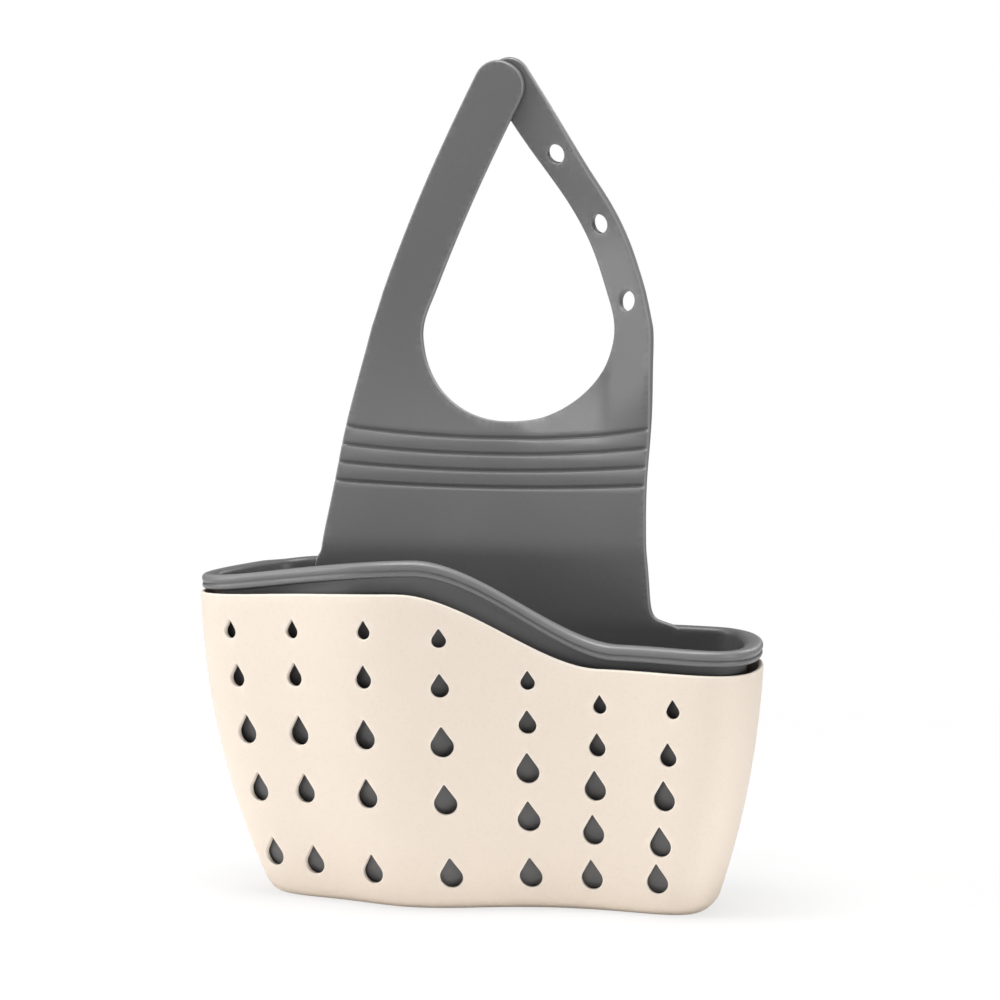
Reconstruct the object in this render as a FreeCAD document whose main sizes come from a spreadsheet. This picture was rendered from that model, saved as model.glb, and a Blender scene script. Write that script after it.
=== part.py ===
import FreeCAD, Part
import os
import Sketcher
from FreeCAD import Placement, Rotation, Vector

# Kitchen sink caddy: a perforated outer basket, a soft liner basket nested in it, and the liner's
# hanging strap. The strap folds at four cross grooves and splits into two arms, which cross and
# button together with a stud to close the hanging loop.
# Millimetres, +Z up, front towards -Y, origin on the table under the basket.

SIZES = {
    # Outer basket, outside faces
    "rim_width": 158.0,
    "rim_depth": 64.0,
    "rim_height": 80.0,
    "belly_width": 149.0,
    "belly_depth": 58.0,
    "belly_height": 40.0,
    "floor_width": 126.0,
    "floor_depth": 46.0,
    "floor_round": 6.0,
    "back_face": 30.0,
    "back_trim": 0.1,
    "shell_wall": 2.0,
    # Wavy top edge of the outer basket: left end, crest and low right side
    "shell_left": 86.5,
    "shell_crest": 90.0,
    "shell_right": 69.5,
    "shell_crest_at": -15.0,
    "shell_low_at": 38.0,
    # Drop-shaped holes, radius of the round end in the top row and in the large rows
    "drop_margin": 10.5,
    "drop_foot": 9.8,
    "drop_small": 1.75,
    "drop_large": 2.95,
    "drop_point": 1.75,
    # Drain holes through both floors
    "drain_bore": 5.0,
    "drain_pitch": 19.0,
    # Liner basket and its double-beaded lip
    "nest_gap": 0.4,
    "liner_wall": 2.2,
    "lip_left": 93.0,
    "lip_crest": 99.0,
    "lip_right": 77.5,
    "lip_crest_at": -11.0,
    "lip_low_at": 43.0,
    "lip_tall": 4.4,
    "lip_groove_tall": 0.9,
    "lip_groove_deep": 0.8,
    # Strap, seen from the front
    "strap_foot_at": -9.05,
    "strap_foot_width": 96.3,
    "strap_at": -8.2,
    "strap_width": 90.5,
    "foot_flare": 7.0,
    # Strap, seen from the side: a step inside the liner's back wall, up to the bend, then leaning back
    "strap_step": 0.1,
    "bend_drop": 3.0,
    "strap_lean": 30.8,
    "tip_lean": 24.0,
    # Fold grooves across the leaning strap, measured along it
    "groove_rise": 16.4,
    "fold_lean": 24.5,
    "groove_pitch": 5.0,
    "groove_sag": 1.35,
    "groove_sag_top": 3.1,
    "groove_gap": 0.4,
    "groove_mouth": 1.4,
    "groove_deep": 0.9,
    # Hanging loop
    "loop_at": -5.3,
    "loop_radius": 27.9,
    "loop_web": 4.4,
    "loop_rise": 69.8,
    "tip_at": -8.4,
    "tip_shift": 1.1,
    "front_arm_width": 14.2,
    "rear_arm_width": 12.0,
    "arm_gap": 0.4,
    # Stud and the holes that it snaps into
    "strap_bore": 5.6,
    "stud_shank": 4.4,
    "stud_head": 6.6,
    "stud_play": 0.5,
}

# Grooves are counted from 0, the lowest
LAST_GROOVE = 3
# Sizes that follow from the others, in the order in which they are worked out
DERIVED = {
    "bend_height": "lip_crest - bend_drop",
    "groove_height": "bend_height + groove_rise",
    "groove_top": f"groove_height + {LAST_GROOVE} * groove_pitch * cos( fold_lean )",
    "loop_height": "groove_top + loop_web + loop_radius",
    "lean_height": "loop_height + 0.45 * loop_rise",
    "tip_height": "loop_height + loop_rise",
    "bore_pitch": "0.34 * loop_rise",
}
# Control points of the plan outline from the right end of the flat back round the front to its
# left end, as shares of the half width and of the depth
PLAN = (
    (0.76, 0.0), (0.93, 0.0), (1.07, 0.64), (0.92, 0.88), (0.66, 0.82), (0.38, 0.785), (0.12, 0.86),
    (-0.10, 0.985), (-0.36, 1.03), (-0.66, 0.84), (-1.17, 0.73), (-0.92, 0.0), (-0.76, 0.0),
)
# Hole columns: place across the front at the rim and at the floor
DROP_COLUMNS = (
    (-68.0, -59.5), (-47.5, -46.5), (-24.5, -27.5), (-4.0, -5.0), (18.5, 16.0), (38.0, 33.0),
    (59.0, 52.0),
)
# Hole rows, top to bottom: height share at the left and right ends, its rise in the middle, and
# size share
DROP_ROWS = (
    (1.0, 1.0, 0.0, 0.0), (0.80, 0.735, 0.035, 0.4), (0.555, 0.49, 0.04, 1.0),
    (0.295, 0.22, 0.06, 1.0), (0.0, 0.0, 0.0, 1.0),
)
# Half spans of the cutting prisms, beyond the object on every side
SPAN = 90.0
REACH = 240.0

FRONT_VIEW = Rotation(Vector(1, 0, 0), 90)
SIDE_VIEW = Rotation(Vector(1, 1, 1), 120)

doc = FreeCAD.newDocument("SinkCaddy")
sheet = doc.addObject("Spreadsheet::Sheet", "Sizes")
cells = {**SIZES, **{name: f"={formula}" for name, formula in DERIVED.items()}}
for row, (name, content) in enumerate(cells.items(), 1):
    sheet.set(f"A{row}", name)
    sheet.setAlias(f"B{row}", name)
    sheet.set(f"B{row}", str(content))
doc.recompute()


def value(expression):
    """Number that an expression of the sheet's names stands for."""
    return float(sheet.evalExpression(expression))


def bound(expression):
    """The same expression as other objects of the document write it."""
    words = expression.replace("(", " ( ").replace(")", " ) ").split()
    return " ".join(f"Sizes.{word}" if word in cells else word for word in words)


def bind(item, **expressions):
    for key, expression in expressions.items():
        item.setExpression(key.replace("__", "."), bound(expression))


def new_sketch(name, rotation=Rotation(), height="0"):
    sketch = doc.addObject("Sketcher::SketchObject", name)
    sketch.Placement = Placement(Vector(), rotation)
    bind(sketch, Placement__Base__z=height)
    return sketch


def pin(sketch, geometry, point, x, y):
    """Holds a point of a sketch at two expressions."""
    for kind, expression in (("DistanceX", x), ("DistanceY", y)):
        rule = Sketcher.Constraint(kind, -1, 1, geometry, point, value(expression))
        index = sketch.addConstraint(rule)
        label = f"{kind}_{index}"
        sketch.renameConstraint(index, label)
        sketch.setExpression(f"Constraints.{label}", bound(expression))


def join(sketch, first, second):
    """Line between two points, each given as (geometry, 1 for its start or 2 for its end)."""
    ends = [sketch.getPoint(*first), sketch.getPoint(*second)]
    line = sketch.addGeometry(Part.LineSegment(*ends), False)
    sketch.addConstraint(Sketcher.Constraint("Coincident", line, 1, *first))
    sketch.addConstraint(Sketcher.Constraint("Coincident", line, 2, *second))


def close_between(sketch, first, second):
    """Closes two curves that run the same way with a line at each end."""
    join(sketch, (first, 2), (second, 2))
    join(sketch, (second, 1), (first, 1))


def spline_curve(points, knots=None, multiplicities=None):
    """Clamped cubic spline on control points."""
    inner = len(points) - 4
    knots = knots or [float(step) for step in range(inner + 2)]
    multiplicities = multiplicities or [4] + [1] * inner + [4]
    curve = Part.BSplineCurve()
    curve.buildFromPolesMultsKnots(points, multiplicities, knots, False, 3)
    return curve


def spline(sketch, poles, knots=None, multiplicities=None):
    """Spline in a sketch whose control points are pinned at pairs of expressions."""
    points = [Vector(value(x), value(y), 0) for x, y in poles]
    geometry = sketch.addGeometry(spline_curve(points, knots, multiplicities), False)
    sketch.exposeInternalGeometry(geometry)
    for step, (x, y) in enumerate(poles, 1):
        pin(sketch, geometry + step, 3, x, y)
    return geometry


def straight(sketch, start, end):
    """Line pinned at two places."""
    places = [Vector(value(x), value(y), 0) for x, y in (start, end)]
    line = sketch.addGeometry(Part.LineSegment(*places), False)
    pin(sketch, line, 1, *start)
    pin(sketch, line, 2, *end)
    return line


def outward(points):
    """Unit normals on the left of a chain of points, from each point's neighbours."""
    normals = []
    for index in range(len(points)):
        before = points[max(index - 1, 0)]
        after = points[min(index + 1, len(points) - 1)]
        run = (after[0] - before[0], after[1] - before[1])
        length = (run[0] ** 2 + run[1] ** 2) ** 0.5
        normals.append((-run[1] / length, run[0] / length))
    return normals


def moved(poles, distance):
    """Control points moved to the left of their chain by an expression."""
    points = [(value(x), value(y)) for x, y in poles]
    result = []
    for (x, y), (nx, ny) in zip(poles, outward(points)):
        result.append((f"{x} + {nx:.4f} * ( {distance} )", f"{y} + {ny:.4f} * ( {distance} )"))
    return result


def extrude(name, sketch, forward=None):
    """Prism on a sketch: on both sides of its plane, or only forwards by a length."""
    prism = doc.addObject("Part::Extrusion", name)
    prism.Base = sketch
    prism.DirMode = "Normal"
    prism.Solid = True
    prism.Symmetric = forward is None
    prism.LengthFwd = forward or 2 * REACH
    return prism


def boolean(kind, name, base, tool):
    result = doc.addObject(f"Part::{kind}", name)
    result.Base = base
    result.Tool = tool
    return result


def fuse_all(name, shapes):
    result = doc.addObject("Part::MultiFuse", name)
    result.Shapes = shapes
    return result


def cylinder(name, diameter, length, place, axis):
    """Round bar of a bound diameter that starts at a place and runs along an axis."""
    bar = doc.addObject("Part::Cylinder", name)
    bind(bar, Radius=f"{diameter} / 2")
    bar.Height = length
    bar.Placement = Placement(place, Rotation(Vector(0, 0, 1), axis))
    return bar


# Baskets


def mean_of(poles, first, weights):
    """Weighted mean of control points that follow one another."""
    near = list(zip(weights, poles[first:]))
    total = sum(weights)
    sums = [" + ".join(f"{weight} * ( {pole[axis]} )" for weight, pole in near) for axis in (0, 1)]
    return tuple(f"( {terms} ) / {total}" for terms in sums)


def smooth_runs(poles):
    """Control points of one spline, divided into those of short splines that join smoothly."""
    spans = len(poles) - 3
    knots = range(0, spans + 1, 2)
    runs = []
    for start, end in zip(knots, knots[1:]):
        head = [mean_of(poles, start, (1, 4, 1)), mean_of(poles, start, (0, 2, 1))]
        tail = [mean_of(poles, end, (1, 2)), mean_of(poles, end, (1, 4, 1))]
        run = poles[start + 2:end + 1]
        runs.append((head if start else poles[:2]) + run + (tail if end < spans else poles[-2:]))
    return runs


def plan_section(name, level, inset, height, behind):
    """Plan outline of the basket at a level, moved inwards, with its flat back moved behind."""
    poles = []
    for across, forward in PLAN:
        poles.append((f"{across} * {level}_width / 2", f"back_face - {forward} * {level}_depth"))
    inner = moved(poles, f"-1 * ( {inset} )")
    flat = f"back_face - ( {inset} ) + {behind}"
    inner[:2] = [(poles[0][0], flat), (inner[1][0], flat)]
    inner[-2:] = [(inner[-2][0], flat), (poles[-1][0], flat)]
    sketch = new_sketch(name, height=height)
    front = [spline(sketch, run) for run in smooth_runs(inner)]
    join(sketch, (front[-1], 2), (front[0], 1))
    return sketch


def basket_loft(name, inset, floor="0", behind="0"):
    """Solid basket form from a floor height to above the lip."""
    levels = {"floor": floor, "belly": "belly_height", "rim": "rim_height", "top": "lip_crest + 8"}
    sections = []
    for stage, height in levels.items():
        level = "rim" if stage == "top" else stage
        sections.append(plan_section(f"{name}_{stage}", level, inset, height, behind))
    loft = doc.addObject("Part::Loft", name)
    loft.Sections = sections
    loft.Solid = True
    return loft


def round_floor(name, loft, radius):
    """Rounds the edge all round the floor of a basket form."""
    doc.recompute()
    lowest = loft.Shape.BoundBox.ZMin
    rounded = doc.addObject("Part::Fillet", name)
    rounded.Base = loft
    rounded.Edges = [
        (index, value(radius), value(radius))
        for index, edge in enumerate(loft.Shape.Edges, 1) if edge.BoundBox.ZMax < lowest + 0.01
    ]
    return rounded


def wave(sketch, edge, drop):
    """Wavy edge across the front: level at its ends, at its crest and at its low side."""
    crest, low = f"{edge}_crest_at", f"{edge}_low_at"
    stages = ("left", "left", "crest", "crest", "right", "right")
    heights = [f"{edge}_{stage} - ( {drop} )" for stage in stages]
    heights += [f"{edge}_right - 1 - ( {drop} )"] * 2
    stops = [f"-{SPAN}", crest, low, f"{SPAN}"]
    across = [stops[0]]
    for start, end in zip(stops, stops[1:]):
        across += [f"( 2 * {start} + {end} ) / 3", f"( {start} + 2 * {end} ) / 3"]
    across.append(stops[-1])
    return spline(sketch, list(zip(across, heights)), [value(stop) for stop in stops], [4, 2, 2, 4])


def wave_region(name, edge, drop, tall):
    """Prism between a wavy edge and the same edge a height above it."""
    sketch = new_sketch(name + "_outline", FRONT_VIEW)
    close_between(sketch, wave(sketch, edge, drop), wave(sketch, edge, f"{drop} - ( {tall} )"))
    return extrude(name, sketch)


def edge_height(across):
    """Height of the outer basket's wavy edge at a place across the front."""
    places = (-SPAN, value("shell_crest_at"), value("shell_low_at"), SPAN)
    heights = [value(f"shell_{stage}") for stage in ("left", "crest", "right", "right")]
    span = max(step for step in range(3) if across >= places[step])
    share = (across - places[span]) / (places[span + 1] - places[span])
    return heights[span] + (heights[span + 1] - heights[span]) * share ** 2 * (3 - 2 * share)


def drop_hole(sketch, x, z, radius):
    """Drop outline: a round end below two lines that touch it and meet in a point."""
    point = value("drop_point")
    side = (1 - 1 / point ** 2) ** 0.5
    tip = Vector(x, z + point * radius, 0)
    left, right = (Vector(x + turn * side * radius, z + radius / point, 0) for turn in (-1, 1))
    sketch.addGeometry(Part.LineSegment(right, tip), False)
    sketch.addGeometry(Part.LineSegment(tip, left), False)
    sketch.addGeometry(Part.Arc(left, Vector(x, z - radius, 0), right), False)


def drop_prisms():
    """Columns of drop-shaped holes through the front wall."""
    small, large, foot = value("drop_small"), value("drop_large"), value("drop_foot")
    first, last = DROP_COLUMNS[0][0], DROP_COLUMNS[-1][0]
    columns = []
    for number, (at_rim, at_floor) in enumerate(DROP_COLUMNS, 1):
        sketch = new_sketch(f"drop_column{number}", FRONT_VIEW)
        along = (at_rim - first) / (last - first)
        top = edge_height(at_rim) - value("drop_margin")
        for left_share, right_share, rise, growth in DROP_ROWS:
            share = left_share + (right_share - left_share) * along + 4 * rise * along * (1 - along)
            x = at_floor + (at_rim - at_floor) * share
            drop_hole(sketch, x, foot + (top - foot) * share, small + (large - small) * growth)
        columns.append(extrude(f"drop_prisms{number}", sketch, REACH))
    return fuse_all("drop_prisms", columns)


def drain_holes():
    """Row of drain holes through both floors."""
    middle = value("back_face - 0.45 * floor_depth")
    bars = []
    for step in (-2, -1, 0, 1, 2):
        start = Vector(step * value("drain_pitch"), middle, -value("shell_wall"))
        length = value("belly_height") / 2
        bars.append(cylinder(f"drain{step + 3}", "drain_bore", length, start, Vector(0, 0, 1)))
    return fuse_all("drain_holes", bars)


def behind_back():
    """Prism behind the flat back, which trims what stands on it to a true plane."""
    sketch = new_sketch("behind_back_outline", SIDE_VIEW)
    lower = straight(sketch, ("back_face", f"-{SPAN}"), (f"back_face + {SPAN}", f"-{SPAN}"))
    upper = straight(sketch, ("back_face", f"{REACH}"), (f"back_face + {SPAN}", f"{REACH}"))
    close_between(sketch, lower, upper)
    return extrude("behind_back", sketch)


outside = basket_loft("outside", "0", behind="back_trim")
rear_trim = behind_back()
drains = drain_holes()


def outer_basket():
    rounded = round_floor("shell_rounded", outside, "floor_round")
    form = boolean("Cut", "shell_form", rounded, rear_trim)
    hollow = basket_loft("shell_hollow", "shell_wall", "shell_wall")
    wall = boolean("Cut", "shell_wall_form", form, hollow)
    above = wave_region("shell_top", "shell", "0", f"{REACH}")
    pierced = boolean("Cut", "shell_pierced", boolean("Cut", "shell_trimmed", wall, above), drop_prisms())
    return boolean("Cut", "outer_basket", pierced, drains)


# Strap forms


def side_poles(behind):
    """Side profile of the strap's rear face from the back wall up, its top moved behind."""
    wall = "back_face - shell_wall - nest_gap - strap_step"
    rise = "( lean_height - bend_height )"
    top = "( tip_height + front_arm_width )"
    upright = [(wall, f"bend_height - {below}") for below in (38, 20, 7.5, 1.6)]
    leaning = [
        (f"{wall} + {lean} * strap_lean", f"bend_height + {share} * {rise}")
        for lean, share in ((0.02, 0.02), (0.135, 0.12), (0.35, 0.28), (0.685, 0.5), (0.92, 0.76))
    ]
    tip = [
        (f"{wall} + strap_lean + {behind}", "lean_height"),
        (f"{wall} + 0.43 * strap_lean + 0.57 * tip_lean + {behind}", f"0.5 * ( lean_height + {top} )"),
        (f"{wall} + tip_lean + {behind}", top),
    ]
    return upright + leaning + tip


def strap_sheet(name, behind):
    """Sheet of the strap's thickness, bent as the strap is, across the whole width."""
    rear = side_poles(behind)
    sketch = new_sketch(name + "_profile", SIDE_VIEW)
    close_between(sketch, spline(sketch, rear), spline(sketch, moved(rear, "liner_wall")))
    return extrude(name, sketch)


def rear_face_at(height, behind):
    """Place of the strap's rear face at a height, and the direction that leads out of it."""
    curve = spline_curve([Vector(0, value(y), value(z)) for y, z in side_poles(behind)])
    low, high = curve.FirstParameter, curve.LastParameter
    while high - low > 1e-9:
        middle = (low + high) / 2
        low, high = (middle, high) if curve.value(middle).z < height else (low, middle)
    tangent = curve.tangent(low)[0]
    return curve.value(low), Vector(0, tangent.z, -tangent.y)


def fold_sketch(name, lift="0"):
    """Sketch in the plane of the leaning strap, from its rear face at the lowest groove forwards."""
    seat, _ = rear_face_at(value("groove_height"), "0")
    turn = Rotation(Vector(1, 0, 0), 90 - value("fold_lean"))
    sketch = doc.addObject("Sketcher::SketchObject", name)
    sketch.Placement = Placement(seat + turn.multVec(Vector(0, 0, value(lift))), turn)
    return sketch


def groove_curve(sketch, step, shift):
    """Line along a fold groove, which sags in the middle, moved up the strap by an expression."""
    height = f"{step} * groove_pitch + ( {shift} )"
    sag = f"( groove_sag + {step / LAST_GROOVE:.4f} * ( groove_sag_top - groove_sag ) )"
    end = f"{sag} * ( 2 * {SPAN} / strap_width ) ^ 2"
    poles = [
        (f"strap_at - {SPAN}", f"{height} + {end}"), (f"strap_at - {SPAN} / 3", f"{height} - {end} / 3"),
        (f"strap_at + {SPAN} / 3", f"{height} - {end} / 3"), (f"strap_at + {SPAN}", f"{height} + {end}"),
    ]
    return spline(sketch, poles)


def strap_edge(side, shoulder, rim, flare):
    """Control points of one edge of the strap from its flared foot to the shoulder; side is 1 or -1."""
    foot = f"strap_foot_at + {side} * strap_foot_width / 2"
    waist = f"strap_at + {side} * strap_width / 2"
    return [
        (f"{foot} + {side} * {flare}", f"{rim} - lip_tall"), (f"{foot} + {side} * 0.8 * {flare}", rim),
        (foot, f"{rim} + 0.3 * {flare}"), (foot, f"{rim} + 2 * {flare}"),
        (waist, "groove_height + groove_pitch"), (waist, "0.5 * ( groove_height + loop_height )"),
        (shoulder, "loop_height - arm_gap / 2"),
    ]


def strap_outline():
    """Outline of the strap from its foot on the lip to the roots of the arms."""
    sketch = new_sketch("strap_edges", FRONT_VIEW)
    right_shoulder = "loop_at + loop_radius + rear_arm_width"
    left_shoulder = "loop_at - loop_radius - 1.05 * front_arm_width"
    right = spline(sketch, strap_edge(1, right_shoulder, "lip_right", "foot_flare"))
    left = spline(sketch, strap_edge(-1, left_shoulder, "lip_left", "( 0.3 * foot_flare )"))
    close_between(sketch, right, left)
    return extrude("strap_outline", sketch)


def groove_mouths():
    """Open mouths of the fold grooves in the front face."""
    mouths = []
    for step in range(LAST_GROOVE + 1):
        sketch = fold_sketch(f"groove_mouth{step + 1}_outline", "liner_wall - groove_deep")
        edges = [groove_curve(sketch, step, f"{side} * groove_mouth / 2") for side in (-1, 1)]
        close_between(sketch, *edges)
        mouths.append(extrude(f"groove_mouth{step + 1}", sketch, 2 * value("liner_wall")))
    return fuse_all("groove_mouths", mouths)


sheet_form = strap_sheet("front_sheet", "0")
rear_sheet_form = strap_sheet("rear_sheet", "( liner_wall + arm_gap )")
strap_prism = strap_outline()
plain_strap = boolean("Common", "plain_strap", sheet_form, strap_prism)
strap_form = boolean("Cut", "strap_form", plain_strap, groove_mouths())


def between_grooves(name, lower, upper):
    """Strap between two grooves, less half a gap on each side; None stands for no groove there."""
    sketch = fold_sketch(name + "_outline")
    edges = []
    for step, side, limit in ((lower, 1, f"-{REACH}"), (upper, -1, f"{REACH}")):
        if step is None:
            edges.append(straight(sketch, (f"strap_at - {SPAN}", limit), (f"strap_at + {SPAN}", limit)))
        else:
            edges.append(groove_curve(sketch, step, f"{side} * groove_gap / 2"))
    close_between(sketch, *edges)
    return boolean("Common", name, strap_form, extrude(name + "_band", sketch))


def strap_notch():
    """Room in the lip at the back, above the bend, for the strap that leans away there."""
    sketch = new_sketch("strap_notch_outline", SIDE_VIEW)
    middle, height = "back_face - rim_depth / 2", "bend_height - 0.5"
    lower = straight(sketch, (middle, height), (f"back_face + {SPAN}", height))
    upper = straight(sketch, (middle, f"{REACH}"), (f"back_face + {SPAN}", f"{REACH}"))
    close_between(sketch, lower, upper)
    return boolean("Common", "strap_notch", extrude("strap_notch_block", sketch), strap_prism)


def inner_basket():
    inset = "shell_wall + nest_gap"
    cup = round_floor("cup_form", basket_loft("cup_block", inset, inset), f"floor_round - ( {inset} )")
    cup_trimmed = boolean("Cut", "cup_trimmed", cup, wave_region("lip_top", "lip", "0", f"{REACH}"))
    band = boolean("Common", "lip_block", outside, wave_region("lip_band", "lip", "lip_tall", "lip_tall"))
    bead = boolean("Cut", "lip_flush", band, rear_trim)
    middle = "0.5 * ( lip_tall + lip_groove_tall )"
    slot = wave_region("lip_slot", "lip", middle, "lip_groove_tall")
    ring = boolean("Cut", "lip_groove", slot, basket_loft("lip_core", "lip_groove_deep"))
    walls = fuse_all("cup_walls", [cup_trimmed, boolean("Cut", "lip", bead, ring)])
    hollow = basket_loft("cup_hollow", f"{inset} + liner_wall", f"{inset} + liner_wall")
    cup_shell = boolean("Cut", "cup_shell", boolean("Cut", "cup_hollowed", walls, hollow), strap_notch())
    whole = boolean("Fuse", "cup_and_panel", cup_shell, between_grooves("strap_panel", None, 0))
    return boolean("Cut", "inner_basket", whole, drains)


def hinge_ribs():
    names = ("lower", "middle", "upper")
    return [between_grooves(f"hinge_rib_{name}", step, step + 1) for step, name in enumerate(names)]


def strap_yoke():
    block = between_grooves("yoke_block", LAST_GROOVE, None)
    start = Vector(value("loop_at"), -REACH, value("loop_height"))
    hole = cylinder("loop_hole", "2 * loop_radius", 2 * REACH, start, Vector(0, 1, 0))
    return boolean("Cut", "strap_yoke", block, hole)


def arm_poles(root, reach, shares, tip_shift):
    """Control points of an arm's centre line from below its root to its tip."""
    poles = []
    for across, up in shares:
        poles.append((f"{root} + {across} * {reach}", f"loop_height + {up} * loop_rise"))
    return poles + [(f"tip_at + {tip_shift}", f"tip_height + {tip_shift}")]


def arm(name, sheet_part, poles, width):
    """Arm of the loop: a strip of even width along a centre line, with a round tip."""
    sketch = new_sketch(name + "_outline", FRONT_VIEW)
    sides = [spline(sketch, moved(poles, f"{side} * {width} / 2")) for side in (1, -1)]
    close_between(sketch, *sides)
    tip = Vector(value(poles[-1][0]), -REACH, value(poles[-1][1]))
    disc = cylinder(name + "_tip", width, 2 * REACH, tip, Vector(0, 1, 0))
    strip = fuse_all(name + "_strip", [extrude(name + "_prism", sketch), disc])
    form = boolean("Common", name + "_form", sheet_part, strip)
    root = "loop_height + arm_gap / 2"
    keep = new_sketch(name + "_keep_outline", FRONT_VIEW)
    lower = straight(keep, (f"-{SPAN}", root), (f"{SPAN}", root))
    upper = straight(keep, (f"-{SPAN}", f"{root} + {REACH}"), (f"{SPAN}", f"{root} + {REACH}"))
    close_between(keep, lower, upper)
    return boolean("Common", name, form, extrude(name + "_keep", keep))


def front_arm():
    root = "( loop_at - loop_radius - 0.55 * front_arm_width )"
    shares = ((-0.07, -0.16), (0.03, 0.05), (0.225, 0.33), (0.575, 0.66))
    poles = arm_poles(root, f"( tip_at - {root} )", shares, "-1 * tip_shift")
    return arm("front_arm", sheet_form, poles, "front_arm_width")


def bore_places(poles):
    """Place of the stud, and places on the rear arm's centre line a pitch apart below it."""
    curve = spline_curve([Vector(value(x), value(z), 0) for x, z in poles])
    stud = Vector(value("tip_at"), value("tip_height"), 0)
    start = curve.length() - curve.value(curve.LastParameter).distanceToPoint(stud)
    distances = [start - step * value("bore_pitch") for step in (1, 2, 3)]
    return [stud] + [curve.value(curve.parameterAtDistance(distance)) for distance in distances]


def rear_arm():
    root = "( loop_at + loop_radius + 0.5 * rear_arm_width )"
    shares = ((-0.018, -0.16), (0.009, 0.04), (0.056, 0.3), (0.447, 0.6))
    poles = arm_poles(root, f"( tip_at - {root} )", shares, "tip_shift")
    whole = arm("rear_arm_whole", rear_sheet_form, poles, "rear_arm_width")
    reach = 4 * value("liner_wall")
    bores = []
    for number, place in enumerate(bore_places(poles)):
        middle, across = rear_face_at(place.y, "( liner_wall + arm_gap )")
        start = Vector(place.x, middle.y, middle.z) - across * reach
        bores.append(cylinder(f"strap_bore{number}", "strap_bore", 2 * reach, start, across))
    return boolean("Cut", "rear_arm", whole, fuse_all("strap_bores", bores))


def snap_stud():
    """Stud on the back of the front arm: a shank through the rear arm's hole and a head behind it."""
    seat, across = rear_face_at(value("tip_height"), "0")
    start = Vector(value("tip_at"), seat.y, seat.z)
    grip = value("liner_wall + 2 * arm_gap + stud_play")
    shank = cylinder("stud_shank_form", "stud_shank", grip, start, across)
    head = doc.addObject("Part::Cone", "stud_head_form")
    bind(head, Radius1="stud_head / 2", Radius2="0.3 * stud_head", Height="liner_wall")
    head.Placement = Placement(start + across * grip, Rotation(Vector(0, 0, 1), across))
    return boolean("Fuse", "snap_stud", shank, head)


sub_parts = [outer_basket(), inner_basket(), *hinge_ribs(), strap_yoke()]
sub_parts += [front_arm(), snap_stud(), rear_arm()]
doc.recompute()

faults = [item.Name for item in doc.Objects if {"Invalid", "Error"} & set(item.State)]
for item in sub_parts:
    if item.Shape.isNull() or not item.Shape.isValid() or len(item.Shape.Solids) != 1:
        faults.append(item.Name)
if faults:
    raise RuntimeError("failed: " + ", ".join(faults))

os.makedirs("parts", exist_ok=True)
for item in sub_parts:
    item.Shape.exportStep(f"parts/{item.Label}.step")
    box = item.Shape.BoundBox
    low = [round(number, 1) for number in (box.XMin, box.YMin, box.ZMin)]
    high = [round(number, 1) for number in (box.XMax, box.YMax, box.ZMax)]
    print(item.Label, low, high, round(item.Shape.Volume, 1))
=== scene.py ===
import math

import bmesh
import bpy
import numpy as np
from mathutils import Matrix, Vector, geometry


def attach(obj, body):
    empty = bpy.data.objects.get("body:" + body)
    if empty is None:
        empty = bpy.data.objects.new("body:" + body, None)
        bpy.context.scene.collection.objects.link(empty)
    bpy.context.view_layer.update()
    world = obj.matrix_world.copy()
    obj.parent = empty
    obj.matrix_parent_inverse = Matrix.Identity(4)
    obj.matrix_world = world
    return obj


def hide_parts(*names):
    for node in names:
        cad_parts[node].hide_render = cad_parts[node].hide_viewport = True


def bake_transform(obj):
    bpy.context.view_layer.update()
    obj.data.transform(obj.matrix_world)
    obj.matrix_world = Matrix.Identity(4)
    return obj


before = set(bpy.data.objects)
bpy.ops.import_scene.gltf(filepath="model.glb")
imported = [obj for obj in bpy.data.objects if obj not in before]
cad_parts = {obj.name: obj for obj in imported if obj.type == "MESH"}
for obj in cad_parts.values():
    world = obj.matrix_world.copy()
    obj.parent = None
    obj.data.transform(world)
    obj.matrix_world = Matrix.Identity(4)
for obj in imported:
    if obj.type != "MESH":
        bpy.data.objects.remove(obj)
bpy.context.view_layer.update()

# Kitchen sink caddy: a cream basket with drop holes, a grey rubber liner nested in it, and the
# liner's strap, which folds at four grooves and buttons into a hanging loop.
# Shapes are worked out in millimetres and turned into metres as each piece is made.

MM = 0.001

# Plan outline of the basket: control points from the right end of the flat back round the front,
# as shares of the half width and of the depth
PLAN = (
    (0.76, 0.0), (0.93, 0.0), (1.07, 0.64), (0.92, 0.88), (0.66, 0.82), (0.38, 0.785), (0.12, 0.86),
    (-0.10, 0.985), (-0.36, 1.03), (-0.66, 0.84), (-1.17, 0.73), (-0.92, 0.0), (-0.76, 0.0),
)
# Height, width and depth of the basket at its floor, its middle, its rim and above
LEVELS = ((0.0, 126.0, 46.0), (40.0, 149.0, 58.0), (80.0, 158.0, 64.0), (107.0, 158.0, 64.0))
MIDDLE_LEVEL, RIM_LEVEL = LEVELS[1][0], LEVELS[2][0]
BACK_FACE = 30.0
# Rounding of the floor's edge, and the heights between which the lean of the wall there is taken
FLOOR_ROUND = 6.0
LEAN_LOW, LEAN_HIGH = 1.0, 7.0

# Wavy edges: heights at the left end, crest and low side, and where the last two are; then how far
# out they run, and how much lower than the low side the right end is
SHELL_WAVE = (86.5, 90.0, 69.5, -15.0, 38.0)
LIP_WAVE = (91.3, 98.9, 76.0, -11.0, 43.0)
WAVE_END = 90.0
WAVE_FALL = 1.0
# Back of the lip: where it begins and over what length, the height that it stays under, and how
# gently it bends down to that
BACK_FROM, BACK_SPAN = 20.0, 8.0
LIP_BACK = 93.9
LIP_BEND = 2.0

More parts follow.
